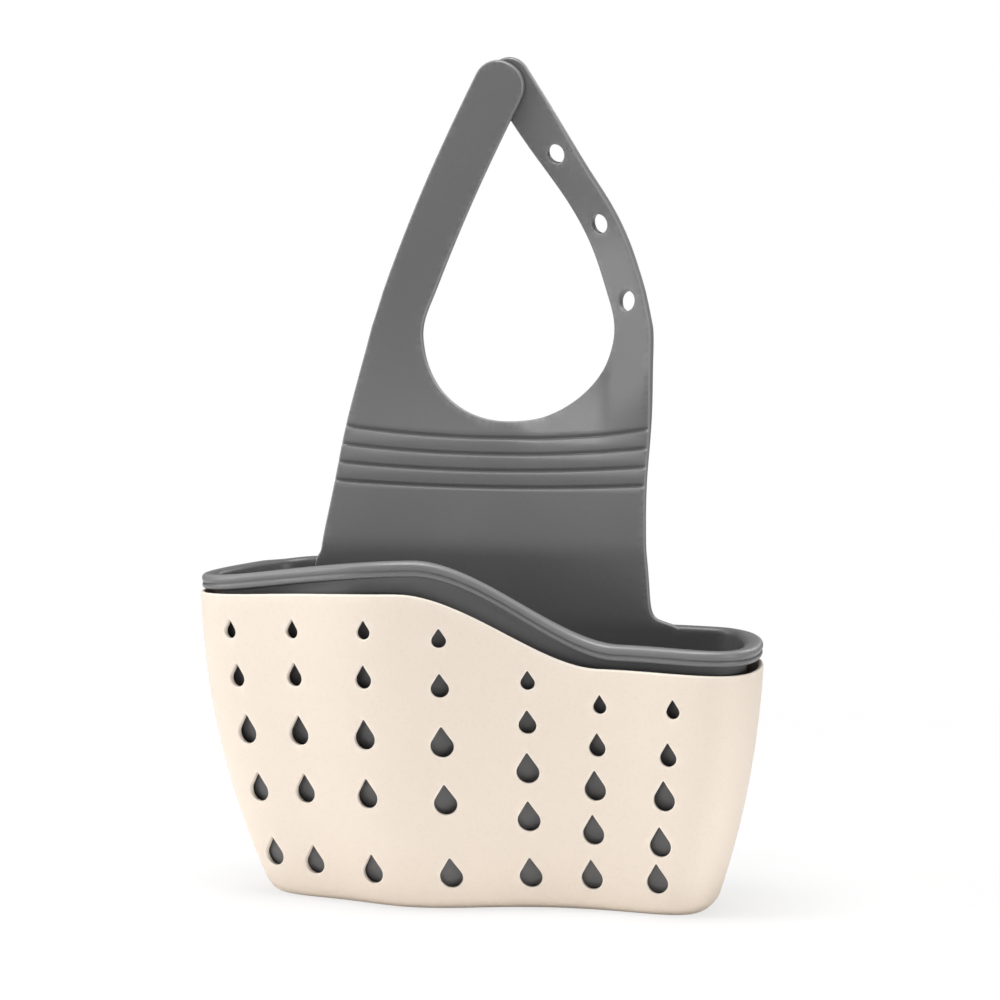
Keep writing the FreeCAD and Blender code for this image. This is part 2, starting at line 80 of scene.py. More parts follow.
# Outer basket: thickness and rounding of the rim. Liner: insets of its outer face at the foot and
# at the lip, inset of its inner face, and rounding inside its floor
SHELL_WALL = 1.6
SHELL_EDGE = 0.6
LINER_FOOT = 2.2
LINER_OUT = 3.2
LINER_IN = 4.6
LINER_ROUND = 2.5
# How much further in the liner's front wall stands, and the insets over which its lip follows
FRONT_RECESS = 1.6
RECESS_FROM, RECESS_SPAN = 2.2, 1.0
# Height at which the outer basket's wall begins, above the rounded edge of its floor
WALL_FOOT = 6.1

# Drop holes: columns as the place across at the rim and at the floor, rows as the height share at
# the left and right ends, its rise in the middle and the size share
DROP_COLUMNS = (
    (-68.0, -59.5), (-47.5, -46.5), (-24.5, -27.5), (-4.0, -5.0), (18.5, 16.0), (38.0, 33.0),
    (59.0, 52.0),
)
DROP_ROWS = (
    (1.0, 1.0, 0.0, 0.0), (0.80, 0.735, 0.035, 0.4), (0.555, 0.49, 0.04, 1.0),
    (0.295, 0.22, 0.06, 1.0), (0.0, 0.0, 0.0, 1.0),
)
# Room above and below them, radii of the smallest and the largest, distance of the point in radii,
# rounding of the point, extra height share at the left end, and rounding of the holes' edges
DROP_MARGIN = 10.5
DROP_FOOT = 9.8
DROP_SMALL = 1.9
DROP_LARGE = 3.05
DROP_POINT = 1.88
DROP_TIP_ROUND = 0.3
DROP_LIFT = 0.036
HOLE_EDGE = 0.45

# Drain holes: places across in pitches from the middle, pitch, radius and place in depth
DRAIN_STEPS = (-2, -1, 0, 1, 2)
DRAIN_PITCH = 19.0
DRAIN_RADIUS = 2.5
DRAIN_PLACE = BACK_FACE - 0.45 * LEVELS[0][2]

# Lip in cross-section from under the lower bead over the top to the inside: inset and height
LIP_SECTION = (
    (3.2, -6.6), (3.2, -5.2), (3.1, -4.62), (2.7, -4.28), (2.1, -4.18), (1.5, -4.14), (1.0, -4.0),
    (0.72, -3.7), (0.58, -3.3), (0.62, -2.92), (0.78, -2.62), (0.92, -2.42), (0.82, -2.22),
    (0.64, -1.92), (0.52, -1.5), (0.54, -1.12), (0.68, -0.74), (0.96, -0.4), (1.36, -0.16),
    (1.85, -0.03), (2.4, 0.0), (3.0, -0.02), (3.55, -0.12), (4.05, -0.34), (4.4, -0.7),
    (4.57, -1.15), (4.6, -1.8), (4.6, -3.2),
)
LIP_TOP = 20
# How much painted highlight those places get, from the first one to just inside the top
LIP_PAINTED_HIGHLIGHT = (
    0.0, 0.0, 0.0, 0.0, 0.0, 0.0, 0.1, 0.3, 0.4, 0.35, 0.15, 0.0, 0.1, 0.25, 0.4, 0.6, 0.85, 1.0,
    1.0, 0.9, 0.7, 0.4, 0.1,
)
# How much painted highlight rounded edges get, from the front face to the rear face
HOLE_PAINTED_HIGHLIGHT = (0.35, 1.0, 1.0, 1.0, 0.6, 0.0, 0.0, 0.0, 0.0, 0.0)
CROWN_PAINTED_HIGHLIGHT = (0.3, 1.0, 1.0, 1.0, 0.8, 0.8, 1.0, 1.0, 1.0, 0.3)
STRAP_PAINTED_HIGHLIGHT = (0.2, 0.7, 1.0, 1.0, 0.5, 0.5, 1.0, 1.0, 0.7, 0.2)

# Strap: thickness, edge rounding, middle and half width at the grooves, and the side profile of its
# rear face as control points (y, z)
STRAP_THICK = 2.2
STRAP_EDGE = 0.6
STRAP_MIDDLE = -8.2
STRAP_HALF = 45.25
STRAP_PROFILE = (
    (27.5, 58.0), (27.5, 76.0), (27.5, 88.5), (27.5, 93.6), (27.5, 95.9), (28.45, 98.6),
    (31.55, 106.2), (38.28, 122.25), (48.6, 142.88), (55.84, 167.26), (58.3, 189.76),
    (54.42, 216.06), (51.5, 242.35),
)
# Edges of the strap in the front view (x, z), upwards
RIGHT_EDGE = (
    (49.5, 75.2), (46.5, 76.6), (41.6, 77.0), (40.6, 82.0), (40.3, 92.5), (37.1, 117.4),
    (38.0, 135.3), (36.8, 158.15),
)
LEFT_EDGE = (
    (-58.8, 88.6), (-58.4, 93.0), (-56.3, 93.6), (-56.3, 99.0), (-54.0, 117.4), (-53.45, 135.3),
    (-48.6, 158.15),
)
# Foot of the strap: its lower edge, and how far and up to what height above it the face sinks back
PANEL_FOOT = 66.0
PANEL_SINK, PANEL_SINK_SPAN = 0.3, 12.0

# Fold grooves: height of the lowest, distance between them, extra rise at the strap's edges, depth,
# half width, and the share of the depth at the edges with the distance in which it becomes full
GROOVE_FACE = 113.35
GROOVE_PITCH = 5.0
GROOVE_SAGS = (1.35, 1.93, 2.52, 3.1)
GROOVE_DEEP = 0.75
GROOVE_REACH = 0.9
GROOVE_END, GROOVE_END_SPAN = 0.35, 2.0
# Lines of the mesh along a groove, as distances from its middle
GROOVE_LINES = (-0.95, -0.7, -0.48, -0.28, -0.1, 0.1, 0.28, 0.48, 0.7, 0.95)
# Seams of the strap, measured along it from the lowest groove: middle and extra rise at the edges
SEAMS = ((-1.4, 0.0), (3.6, 0.0), (8.6, 0.0), (13.6, 0.0), (17.2, 2.3))

# Loop: its round part, how far above the centre that is used, and in degrees where it is cut, from
# straight up, and the step of its edge
LOOP_CENTRE = np.array([-5.0, 158.35])
LOOP_RADII = np.array([28.15, 26.6])
LOOP_USED = 8.0
LOOP_CUT = 70
LOOP_STEP = 1.5
# Arms: height of their seams with the yoke, heights between which they bend, and heights between
# which their edges leave the yoke's outer edges and the loop's round part, drawn on by a length
ARM_SEAM = 146.0
ARM_BEND = (ARM_SEAM + 1, ARM_SEAM + 26)
OUTER_JOIN = (150.0, 168.0)
INNER_JOIN = (152.0, 170.0)
JOIN_LENGTH = 40.0
# Centre lines of the arms in the front view, their widths and how square their tips are
FRONT_ARM = ((-43.7, 147.1), (-40.5, 161.8), (-34.0, 181.4), (-22.6, 204.4), (-9.9, 227.05))
FRONT_ARM_WIDTH = 15.0
FRONT_TIP = 2.1
REAR_ARM = (
    (30.6, 147.1), (31.0, 158.0), (25.4, 173.0), (18.9, 190.0), (4.8, 209.0), (-7.3, 229.25),
)
REAR_ARM_WIDTH = 12.4
REAR_TIP = 2.0
# Rear arm: centre line in the yoke, shift of its top to the back, and turn; with each, the height
# from which it sets in or fades and the length that takes
REAR_ROOT = ((32.0, 104.0), (31.0, 126.0))
REAR_SHIFT = 2.6
REAR_FROM, REAR_SPAN = 128.0, 30.0
REAR_TWIST = math.radians(26.0)
TWIST_FROM, TWIST_SPAN = 120.0, 30.0
UNTWIST_FROM, UNTWIST_SPAN = 196.0, 29.0
# How far the yoke follows the turn beside the arm, as a share of the arm's half width, and the
# distance from the loop's middle in which that sets in
TWIST_SPARE = 0.3
YOKE_SPAN = 12.0

# Stud and the holes that take it: place, distance between holes, radius and number of spare holes
STUD_PLACE = (-8.4, 228.15)
BORE_PITCH = 23.73
BORE_RADIUS = 2.8
BORE_SPARES = 3
# Stud in cross-section from its seat on the front arm to its rounded head: radius and distance
STUD_SECTION = (
    (0.0, -0.5), (2.75, -0.5), (2.6, 0.0), (2.32, 0.2), (2.2, 0.55), (2.2, 3.0), (2.35, 3.35),
    (2.95, 3.5), (3.2, 3.62), (3.28, 3.85), (3.2, 4.15), (2.95, 4.75), (2.55, 5.35), (2.1, 5.72),
    (1.5, 5.88), (0.8, 5.9), (0.0, 5.9),
)

# Meshes: columns and rows of the walls, steps round edges and along seams, sides of round forms,
# height of the flattened wall, spacing of points and room kept from borders
COLUMN_COUNT = 208
SHELL_ROWS = 41
LINER_ROWS = 26
EDGE_STEPS = 4
FLOOR_STEPS = 8
SEAM_STEPS = 50
FOLD_STEPS = 60
ROOT_STEPS = 9
DRAIN_SIDES, BORE_SIDES, STUD_SIDES = 28, 36, 40
FLAT_HEIGHT = 80.0
SHELL_ROOM = 0.9
FLOOR_SPACING, FLOOR_ROOM = 3.0, 1.2
STRAP_SPACING, STRAP_ROOM = 1.6, 0.9
SIDE_SPACING, FOOT_SPACING, TIP_SPACING = 0.4, 2.0, 0.7
SEAM_CLEAR, END_CLEAR = 0.02, 0.05
# Distances in metres within which points are merged, and the angle of a sharp edge
MERGE, SLIVER = 4e-6, 2e-6
CREASE = math.radians(38.0)


# Curves


def spline_weights(count, along):
    """Weights of the control points of a clamped cubic spline, for places from 0 to 1 along it."""
    spans = count - 3
    knots = np.concatenate([np.zeros(3), np.arange(spans + 1.0), np.full(3, spans)])
    place = np.clip(along, 0, 1) * spans
    first = np.minimum(place.astype(int), spans - 1)
    rows = np.arange(len(place))
    level = [np.zeros((len(place), count)) for _ in range(4)]
    for step in range(4):
        level[step][rows, first + step] = 1.0
    for degree in (1, 2, 3):
        for step in range(3, degree - 1, -1):
            low = knots[first + step]
            share = (place - low) / (knots[first + step + 4 - degree] - low)
            level[step] = (1 - share)[:, None] * level[step - 1] + share[:, None] * level[step]
    return level[3]


def spline(poles, count):
    """Points along a clamped cubic spline."""
    return spline_weights(len(poles), np.linspace(0, 1, count)) @ np.array(poles)


def lengths(points):
    """Distance along a chain of points."""
    return np.concatenate([[0.0], np.cumsum(np.linalg.norm(np.diff(points, axis=0), axis=1))])


def points_at(chain, stops):
    """Points at distances along a chain."""
    along = lengths(chain)
    return np.stack([np.interp(stops, along, axis) for axis in np.transpose(chain)], axis=-1)


def even(chain, spacing):
    """The same chain with points at an even spacing."""
    whole = lengths(chain)[-1]
    count = max(int(round(whole / spacing)), 2) + 1
    return points_at(chain, np.linspace(0, whole, count))


def across_at(chain, height):
    """Places across at heights on a chain that runs upwards."""
    return np.interp(height, chain[:, 1], chain[:, 0])


def unit(directions):
    """The same directions with length 1."""
    return directions / np.linalg.norm(directions, axis=-1, keepdims=True)


def left_of(chain):
    """Unit directions to the left of a chain of points."""
    run = np.gradient(chain, axis=0)
    return unit(np.stack([-run[:, 1], run[:, 0]], axis=1))


def circle_of(count):
    """Points evenly round a circle of radius 1."""
    turns = np.linspace(0, 2 * math.pi, count, endpoint=False)
    return np.stack([np.cos(turns), np.sin(turns)], axis=1)


def ease(share):
    """Share from 0 to 1 that starts and stops gently."""
    share = np.clip(share, 0, 1)
    return share * share * (3 - 2 * share)


def wave_height(wave, across):
    """Height of a wavy edge at places across the front."""
    left, crest, right, crest_at, low_at = wave
    stops = np.array([-WAVE_END, crest_at, low_at, WAVE_END])
    heights = np.array([left, crest, right, right - WAVE_FALL])
    across = np.clip(across, -WAVE_END, WAVE_END)
    span = np.clip(np.searchsorted(stops, across, side="right") - 1, 0, 2)
    share = ease((across - stops[span]) / (stops[span + 1] - stops[span]))
    return heights[span] + (heights[span + 1] - heights[span]) * share


# Gathering faces into pieces


def placed(name, data):
    """New object in the scene."""
    item = bpy.data.objects.new(name, data)
    bpy.context.scene.collection.objects.link(item)
    return item


class Moulding:
    """Places and faces of one piece as they are gathered, in millimetres."""

    def __init__(self):
        self.places = []
        self.edges = []
        self.faces = []
        self.count = 0

    def add(self, places, edge):
        """Places, and how much painted highlight they get; gives the number of the first."""
        first = self.count
        self.places.append(places)
        self.edges.append(np.broadcast_to(edge, len(places)))
        self.count += len(places)
        return first

    def strips(self, rows, edges=None):
        """Faces between rows of points, each row closed into a ring."""
        edges = edges or [0.0] * len(rows)
        starts = [self.add(row, edge) for row, edge in zip(rows, edges)]
        width = len(rows[0])
        for low, high in zip(starts, starts[1:]):
            for step in range(width):
                after = (step + 1) % width
                self.faces.append((low + step, low + after, high + after, high + step))

    def sheet(self, places, triangles):
        """Triangles of one face of the piece."""
        first = self.add(places, 0.0)
        self.faces += [tuple(int(corner) + first for corner in face) for face in triangles]

    def piece(self, name, material):
        """One closed mesh of what was gathered."""
        mesh = bpy.data.meshes.new(name)
        mesh.from_pydata((np.concatenate(self.places) * MM).tolist(), [], self.faces)
        # Painted highlight along rounded edges, kept in the edge attribute
        painted_highlight = mesh.attributes.new("edge", "FLOAT", "POINT")
        painted_highlight.data.foreach_set("value", np.concatenate(self.edges))
        shape = bmesh.new()
        shape.from_mesh(mesh)
        bmesh.ops.remove_doubles(shape, verts=shape.verts, dist=MERGE)
        bmesh.ops.dissolve_degenerate(shape, dist=SLIVER, edges=shape.edges)
        bmesh.ops.recalc_face_normals(shape, faces=shape.faces)
        for face in shape.faces:
            face.smooth = True
        shape.to_mesh(mesh)
        shape.free()
        mesh.set_sharp_from_angle(angle=CREASE)
        mesh.materials.append(material)
        return placed(name, mesh)


def inside(points, loop):
    """Which points lie inside a closed loop."""
    across, up = np.transpose(points)
    found = np.zeros(len(points), bool)
    for (ax, ay), (bx, by) in zip(loop, np.roll(loop, -1, axis=0)):
        if ay != by:
            found ^= ((ay > up) != (by > up)) & (across < ax + (up - ay) * (bx - ax) / (by - ay))
    return found


def in_none(points, loops):
    """Which points lie inside none of the loops."""
    keep = np.ones(len(points), bool)
    for loop in loops:
        keep &= ~inside(points, loop)
    return keep


def clear_of(points, loops, room):
    """Which points keep a distance from all the loops."""
    keep = np.ones(len(points), bool)
    for loop in loops:
        low, high = loop.min(axis=0) - room, loop.max(axis=0) + room
        near = np.where(((points > low) & (points < high)).all(axis=1))[0]
        if len(near):
            gaps = np.linalg.norm(points[near][:, None] - loop[None], axis=2).min(axis=1)
            keep[near[gaps < room]] = False
    return keep


def fill_between(outline, holes, inner, lines=()):
    """Triangles between an outline and the holes in it, through inner points and along lines."""
    points, edges = [], []
    loops = [(loop, 1) for loop in (outline, *holes)]
    for chain, closed in loops + [(line, 0) for line in lines]:
        first = len(points)
        points += [Vector(place) for place in chain]
        count = len(chain)
        edges += [(first + step, first + (step + 1) % count) for step in range(count - 1 + closed)]
    points += [Vector(place) for place in inner]
    found = geometry.delaunay_2d_cdt(points, edges, [], 0, 1e-5)
    places = np.array([tuple(place) for place in found[0]])
    triangles = np.array([tuple(face) for face in found[2]])
    centres = places[triangles].mean(axis=1)
    return places, triangles[inside(centres, outline) & in_none(centres, holes)]


def grid_of(across, up):
    """All points of a grid, row by row."""
    return np.stack([axis.ravel() for axis in np.meshgrid(across, up)], axis=1)


def grid_inside(outline, holes, spacing, room):
    """Evenly spread points inside an outline, clear of it and of the holes."""
    low, high = outline.min(axis=0) + spacing / 2, outline.max(axis=0)
    points = grid_of(*(np.arange(low[axis], high[axis], spacing) for axis in (0, 1)))
    keep = inside(points, outline) & clear_of(points, [outline, *holes], room)
    return points[keep & in_none(points, holes)]


def edge_steps(thick, edge):
    """Inset and depth along a rounded edge from the front face to the rear face."""
    turns = np.linspace(0, math.pi / 2, EDGE_STEPS + 1)
    front = [(edge * (1 - math.sin(turn)), edge * (1 - math.cos(turn))) for turn in turns]
    return front + [(inset, thick - depth) for inset, depth in reversed(front)]


# Basket form


def plan_poles():
    """Control points of the plan at the levels, and how they move for each millimetre inwards."""
    rest, inwards = [], []
    for _, width, depth in LEVELS:
        poles = np.array([(side * width / 2, BACK_FACE - front * depth) for side, front in PLAN])
        run = np.zeros_like(poles)
        run[1:-1] = poles[2:] - poles[:-2]
        run[0], run[-1] = poles[1] - poles[0], poles[-1] - poles[-2]
        move = unit(np.stack([run[:, 1], -run[:, 0]], axis=1))
        move[[0, 1, -2, -1], 1] = -1.0
        move[[0, -1], 0] = 0.0
        rest.append(poles)
        inwards.append(move)
    return np.array(rest), np.array(inwards)


# Distances round the basket are measured at its middle level
PLAN_POLES, PLAN_INWARDS = plan_poles()
PLAN_STEPS = np.linspace(0, 1, 1500)
PLAN_ROUND = lengths(spline_weights(len(PLAN), PLAN_STEPS) @ PLAN_POLES[1])
FRONT_LENGTH = PLAN_ROUND[-1]
GIRTH = FRONT_LENGTH + np.linalg.norm(PLAN_POLES[1][0] - PLAN_POLES[1][-1])
COLUMNS = np.arange(COLUMN_COUNT) * (GIRTH / COLUMN_COUNT)


def level_weights(height):
    """Weights of the four levels at heights, on the cubic through them."""
    stops = [level[0] for level in LEVELS]
    weights = []
    for stop in stops:
        others = [other for other in stops if other != stop]
        weights.append(np.prod([(height - other) / (stop - other) for other in others], axis=0))
    return np.stack(weights, axis=1)


def basket_at(round_place, height, inset):
    """Places on the basket form from the distance round it, the height and the inset."""
    round_place, height, inset = np.broadcast_arrays(round_place, height, inset)
    weights = spline_weights(len(PLAN), np.interp(round_place, PLAN_ROUND, PLAN_STEPS))
    share = np.clip((round_place - FRONT_LENGTH) / (GIRTH - FRONT_LENGTH), 0, 1)
    weights = (1 - share)[:, None] * weights
    weights[:, 0] += share
    levels = level_weights(np.clip(height, LEVELS[0][0], LEVELS[-1][0]))
    rest = np.einsum("ip,il,lpk->ik", weights, levels, PLAN_POLES)
    move = np.einsum("ip,il,lpk->ik", weights, levels, PLAN_INWARDS)
    return np.column_stack([rest + inset[:, None] * move, height])


def edge_of(wave, round_place):
    """Height of a wavy edge round the basket, found in a few rounds."""
    height = np.full(len(round_place), RIM_LEVEL)
    for _ in range(6):
        height = wave_height(wave, basket_at(round_place, height, 0.0)[:, 0])
    return height


def floor_round_at(round_place, radius):
    """Rounding of the floor's edge, smaller where the wall leans outwards."""
    low = basket_at(round_place, LEAN_LOW, 0.0)[:, :2]
    high = basket_at(round_place, LEAN_HIGH, 0.0)[:, :2]
    lean = np.arctan(np.linalg.norm(high - low, axis=1) / (LEAN_HIGH - LEAN_LOW))
    return radius * np.tan(math.pi / 4 - lean / 2)


def floor_rows(floor, inset, radius):
    """Rows round the edge of a floor from the foot of the wall down to the flat."""
    rounding = floor_round_at(COLUMNS, radius)
    rows = []
    for turn in np.linspace(0, math.pi / 2, FLOOR_STEPS):
        height = floor + rounding * (1 - math.sin(turn))
        rows.append(basket_at(COLUMNS, height, inset + rounding * (1 - math.cos(turn))))
    return rows


def at_height(flat, height):
    """Places on a level plane."""
    return np.column_stack([flat, np.full(len(flat), height)])


def drained_floor(moulding, under, over):
    """Both faces of a floor between their border rows, and the drain holes through it."""
    ring = circle_of(DRAIN_SIDES)
    centres = [np.array([step * DRAIN_PITCH, DRAIN_PLACE]) for step in DRAIN_STEPS]
    low, high = under[0, 2], over[0, 2]
    mouths = [centre + ring * (DRAIN_RADIUS + HOLE_EDGE) for centre in centres]
    for border, height in ((under, low), (over, high)):
        outline = border[:, :2]
        inner = grid_inside(outline, mouths, FLOOR_SPACING, FLOOR_ROOM)
        flat, triangles = fill_between(outline, mouths, inner)
        moulding.sheet(at_height(flat, height), triangles)
    for centre in centres:
        rows = []
        for inset, depth in edge_steps(high - low, HOLE_EDGE):
            rows.append(at_height(centre + ring * (DRAIN_RADIUS + inset), low + depth))
        moulding.strips(rows)


# Outer basket


def drop_outline(across, height, radius):
    """Outline of a drop hole and the directions that lead out of it into the wall."""
    touch = math.acos(1 / DROP_POINT)
    round_end = np.linspace(touch, 2 * math.pi - touch, 27)
    tip_end = np.linspace(-touch, touch, 7)
    climb = np.array([0.25, 0.5, 0.75])
    side = np.full(len(climb), touch)
    turns = np.concatenate([round_end, -side, tip_end, side])
    away = np.stack([np.sin(turns), np.cos(turns)], axis=1)
    tip = np.array([0.0, DROP_POINT * (radius - DROP_TIP_ROUND)])
    ends = np.concatenate([np.zeros(len(round_end)), climb, np.ones(len(tip_end)), climb[::-1]])
    sizes = radius + (DROP_TIP_ROUND - radius) * ends
    return np.array([across, height]) + ends[:, None] * tip + sizes[:, None] * away, away


def drop_holes():
    """Outlines of all the drop holes in the front view."""
    first, last = DROP_COLUMNS[0][0], DROP_COLUMNS[-1][0]
    drops = []
    for at_rim, at_floor in DROP_COLUMNS:
        along = (at_rim - first) / (last - first)
        top = wave_height(SHELL_WAVE, np.array([at_rim]))[0] - DROP_MARGIN
        for left_share, right_share, rise, growth in DROP_ROWS:
            share = left_share + (right_share - left_share) * along + 4 * rise * along * (1 - along)
            share += DROP_LIFT * growth * (1 - share) * (1 - along) ** 4
            across = at_floor + (at_rim - at_floor) * share
            height = DROP_FOOT + (top - DROP_FOOT) * share
            radius = DROP_SMALL + (DROP_LARGE - DROP_SMALL) * growth
            drops.append(drop_outline(across, height, radius))
    return drops


def front_round(across, height):
    """Distance round the basket of places in the front view, found by halving."""
    level = basket_at(COLUMNS, MIDDLE_LEVEL, 0.0)[:, 0]
    low = np.full(len(across), COLUMNS[level.argmax()])
    high = np.full(len(across), COLUMNS[level.argmin()])
    for _ in range(40):
        middle = (low + high) / 2
        right = basket_at(middle, height, 0.0)[:, 0] > across
        low, high = np.where(right, middle, low), np.where(right, high, middle)
    return low


def basket_shell(material):
    """Outer basket: pierced wall, rounded rim and drained floor."""
    moulding = Moulding()
    top = edge_of(SHELL_WAVE, COLUMNS) - SHELL_EDGE

    def top_at(round_place):
        return np.interp(round_place, COLUMNS, top, period=GIRTH)

    def wall(flat, depth):
        height = WALL_FOOT + (top_at(flat[:, 0]) - WALL_FOOT) * flat[:, 1] / FLAT_HEIGHT
        return basket_at(flat[:, 0], height, depth)

    def flattened(view):
        place = front_round(view[:, 0], view[:, 1])
        height = FLAT_HEIGHT * (view[:, 1] - WALL_FOOT) / (top_at(place) - WALL_FOOT)
        return np.column_stack([place, height])

    drops = drop_holes()
    mouths = [flattened(outline + HOLE_EDGE * away) for outline, away in drops]
    levels = np.linspace(0, FLAT_HEIGHT, SHELL_ROWS)
    rounds = np.append(COLUMNS, GIRTH)
    border = np.concatenate([
        np.column_stack([rounds, np.zeros(len(rounds))]),
        np.column_stack([np.full(SHELL_ROWS - 2, GIRTH), levels[1:-1]]),
        np.column_stack([rounds[::-1], np.full(len(rounds), FLAT_HEIGHT)]),
        np.column_stack([np.zeros(SHELL_ROWS - 2), levels[-2:0:-1]]),
    ])
    inner = grid_of(COLUMNS[1:], levels[1:-1])
    inner = inner[clear_of(inner, mouths, SHELL_ROOM) & in_none(inner, mouths)]
    flat, triangles = fill_between(border, mouths, inner)
    moulding.sheet(wall(flat, 0.0), triangles)
    moulding.sheet(wall(flat, SHELL_WALL), triangles)
    steps = edge_steps(SHELL_WALL, HOLE_EDGE)
    for outline, away in drops:
        rows = [wall(flattened(outline + inset * away), depth) for inset, depth in steps]
        moulding.strips(rows, HOLE_PAINTED_HIGHLIGHT)
    steps = edge_steps(SHELL_WALL, SHELL_EDGE)
    crown = [basket_at(COLUMNS, top + SHELL_EDGE - inset, drop) for inset, drop in steps]
    moulding.strips(crown, CROWN_PAINTED_HIGHLIGHT)
    outer_floor = floor_rows(0.0, 0.0, FLOOR_ROUND)
    inner_floor = floor_rows(SHELL_WALL, SHELL_WALL, FLOOR_ROUND - SHELL_WALL)
    moulding.strips([basket_at(COLUMNS, WALL_FOOT, 0.0)] + outer_floor)
    moulding.strips([basket_at(COLUMNS, WALL_FOOT, SHELL_WALL)] + inner_floor)
    drained_floor(moulding, outer_floor[-1], inner_floor[-1])
    return moulding.piece("basket_shell", material)


# Liner


def liner_cup(material):
    """Liner basket: rows from under its floor up to the lip and down inside."""
    moulding = Moulding()
    lip = edge_of(LIP_WAVE, COLUMNS)
    behind = ease((basket_at(COLUMNS, RIM_LEVEL, 0.0)[:, 1] - BACK_FROM) / BACK_SPAN)
    over = lip - LIP_BACK
    lip -= behind * (over + np.hypot(over, LIP_BEND)) / 2
    recess = FRONT_RECESS * (1 - behind)
    outer_recess = recess - (LINER_OUT - LINER_FOOT) * behind
    outer_floor = floor_rows(LINER_OUT, LINER_FOOT, FLOOR_ROUND - LINER_FOOT)
    inner_floor = floor_rows(LINER_IN, LINER_IN, LINER_ROUND)
    rows = list(reversed(outer_floor))
    shares = np.linspace(0, 1, LINER_ROWS)
    foot, under = 2 * WALL_FOOT, lip + LIP_SECTION[0][1]
    for share in shares[:-1]:
        inset = LINER_FOOT + (LINER_OUT + outer_recess - LINER_FOOT) * share
        rows.append(basket_at(COLUMNS, foot + (under - foot) * share, inset))
    below_lip = len(rows)
    for number, (inset, rise) in enumerate(LIP_SECTION):
        further = outer_recess if number < LIP_TOP else recess
        follow = ease((inset - RECESS_FROM) / RECESS_SPAN)
        rows.append(basket_at(COLUMNS, lip + rise, inset + further * follow))
    under = lip + LIP_SECTION[-1][1]
    for share in shares[-2::-1]:
        rows.append(basket_at(COLUMNS, foot + (under - foot) * share, LINER_IN + recess * share))
    rows += inner_floor
    edges = [0.0] * len(rows)
    # Painted highlight along the lip's top and beads
    edges[below_lip:below_lip + len(LIP_PAINTED_HIGHLIGHT)] = LIP_PAINTED_HIGHLIGHT
    moulding.strips(rows, edges)
    drained_floor(moulding, outer_floor[-1], inner_floor[-1])
    return moulding.piece("liner_cup", material)


# Strap


class StrapFace:
    """Front face of the strap, bent along its side profile, with its top shifted back."""

    def __init__(self, shift=0.0):
        poles = np.array(STRAP_PROFILE)
        poles[-3:, 0] += shift
        rear = spline(poles, 900)
        self.towards = left_of(rear)
        self.front = rear + STRAP_THICK * self.towards
        along = lengths(self.front)
        self.along = along - np.interp(GROOVE_FACE, self.front[:, 1], along)

    def height(self, along):
        """Height at a distance along the strap from the lowest groove."""
        return np.interp(along, self.along, self.front[:, 1])

    def distance(self, height):
        """Distance along the strap at a height."""
        return np.interp(height, self.front[:, 1], self.along)

    def place(self, flat, depth):
        """Places from front view (x, z) and the depth below the front face."""
        heights = self.front[:, 1]
        places = [flat[:, 0]]
        for front, towards in zip(self.front.T, self.towards.T):
            surface = np.interp(flat[:, 1], heights, front)
            places.append(surface - depth * np.interp(flat[:, 1], heights, towards))
        return np.column_stack(places)


FACE = StrapFace()
REAR_FACE = StrapFace(REAR_SHIFT)


def seam_points(chain):
    """Points of a seam between the rounded edges that it runs across at its ends."""
    along = lengths(chain)
    clear = (along > 2 * STRAP_EDGE) & (along < along[-1] - 2 * STRAP_EDGE)
    first = STRAP_EDGE + SEAM_CLEAR
    return points_at(chain, np.concatenate([[first], along[clear], [along[-1] - first]]))


def border_of(*chains):
    """Closed border from chains, in turn a square seam and an edge that is rounded."""
    points, inwards = [], []
    for number, chain in enumerate(chains):
        if number % 2:
            away = left_of(chain)
            before, after = chains[number - 1], chains[(number + 1) % len(chains)]
            for end, step in ((0, before[-2] - before[-1]), (-1, after[1] - after[0])):
                away[end] = unit(step)
        else:
            chain = seam_points(chain)
            away = np.zeros_like(chain)
        points.append(chain)
        inwards.append(away)
    return np.concatenate(points), np.concatenate(inwards)


def strap_piece(name, material, place, outer, holes=(), lines=(), inner=None, sink=None):
    """Sheet of the strap with rounded edges and holes; place gives its form."""
    moulding = Moulding()
    border, inwards = outer
    outline = border + STRAP_EDGE * inwards
    mouths = [hole + HOLE_EDGE * away for hole, away in holes]
    if inner is None:
        inner = grid_inside(outline, mouths, STRAP_SPACING, STRAP_ROOM)
    flat, triangles = fill_between(outline, mouths, inner, lines)

    def formed(points, depth):
        groove = sink(points) if sink else 0.0
        return place(points, depth + groove * (1 - depth / STRAP_THICK))

    moulding.sheet(formed(flat, 0.0), triangles)
    moulding.sheet(formed(flat, STRAP_THICK), triangles)
    steps = edge_steps(STRAP_THICK, STRAP_EDGE)
    rounded = np.linalg.norm(inwards, axis=1)
    rim = [formed(border + inset * inwards, depth) for inset, depth in steps]
    moulding.strips(rim, [pale * rounded for pale in STRAP_PAINTED_HIGHLIGHT])
    steps = edge_steps(STRAP_THICK, HOLE_EDGE)
    for hole, away in holes:
        rows = [formed(hole + inset * away, depth) for inset, depth in steps]
        moulding.strips(rows, STRAP_PAINTED_HIGHLIGHT)
    return moulding.piece(name, material)


def cut_edge(chain, low, high):
    """Part of an edge, drawn upwards, between two heights."""
    inner = chain[(chain[:, 1] > low + END_CLEAR) & (chain[:, 1] < high - END_CLEAR)]
    ends = [[across_at(chain, height), height] for height in (low, high)]
    return np.vstack([ends[:1], inner, ends[1:]])


RIGHT_SIDE = even(spline(RIGHT_EDGE, 600), SIDE_SPACING)
LEFT_SIDE = even(spline(LEFT_EDGE, 600), SIDE_SPACING)


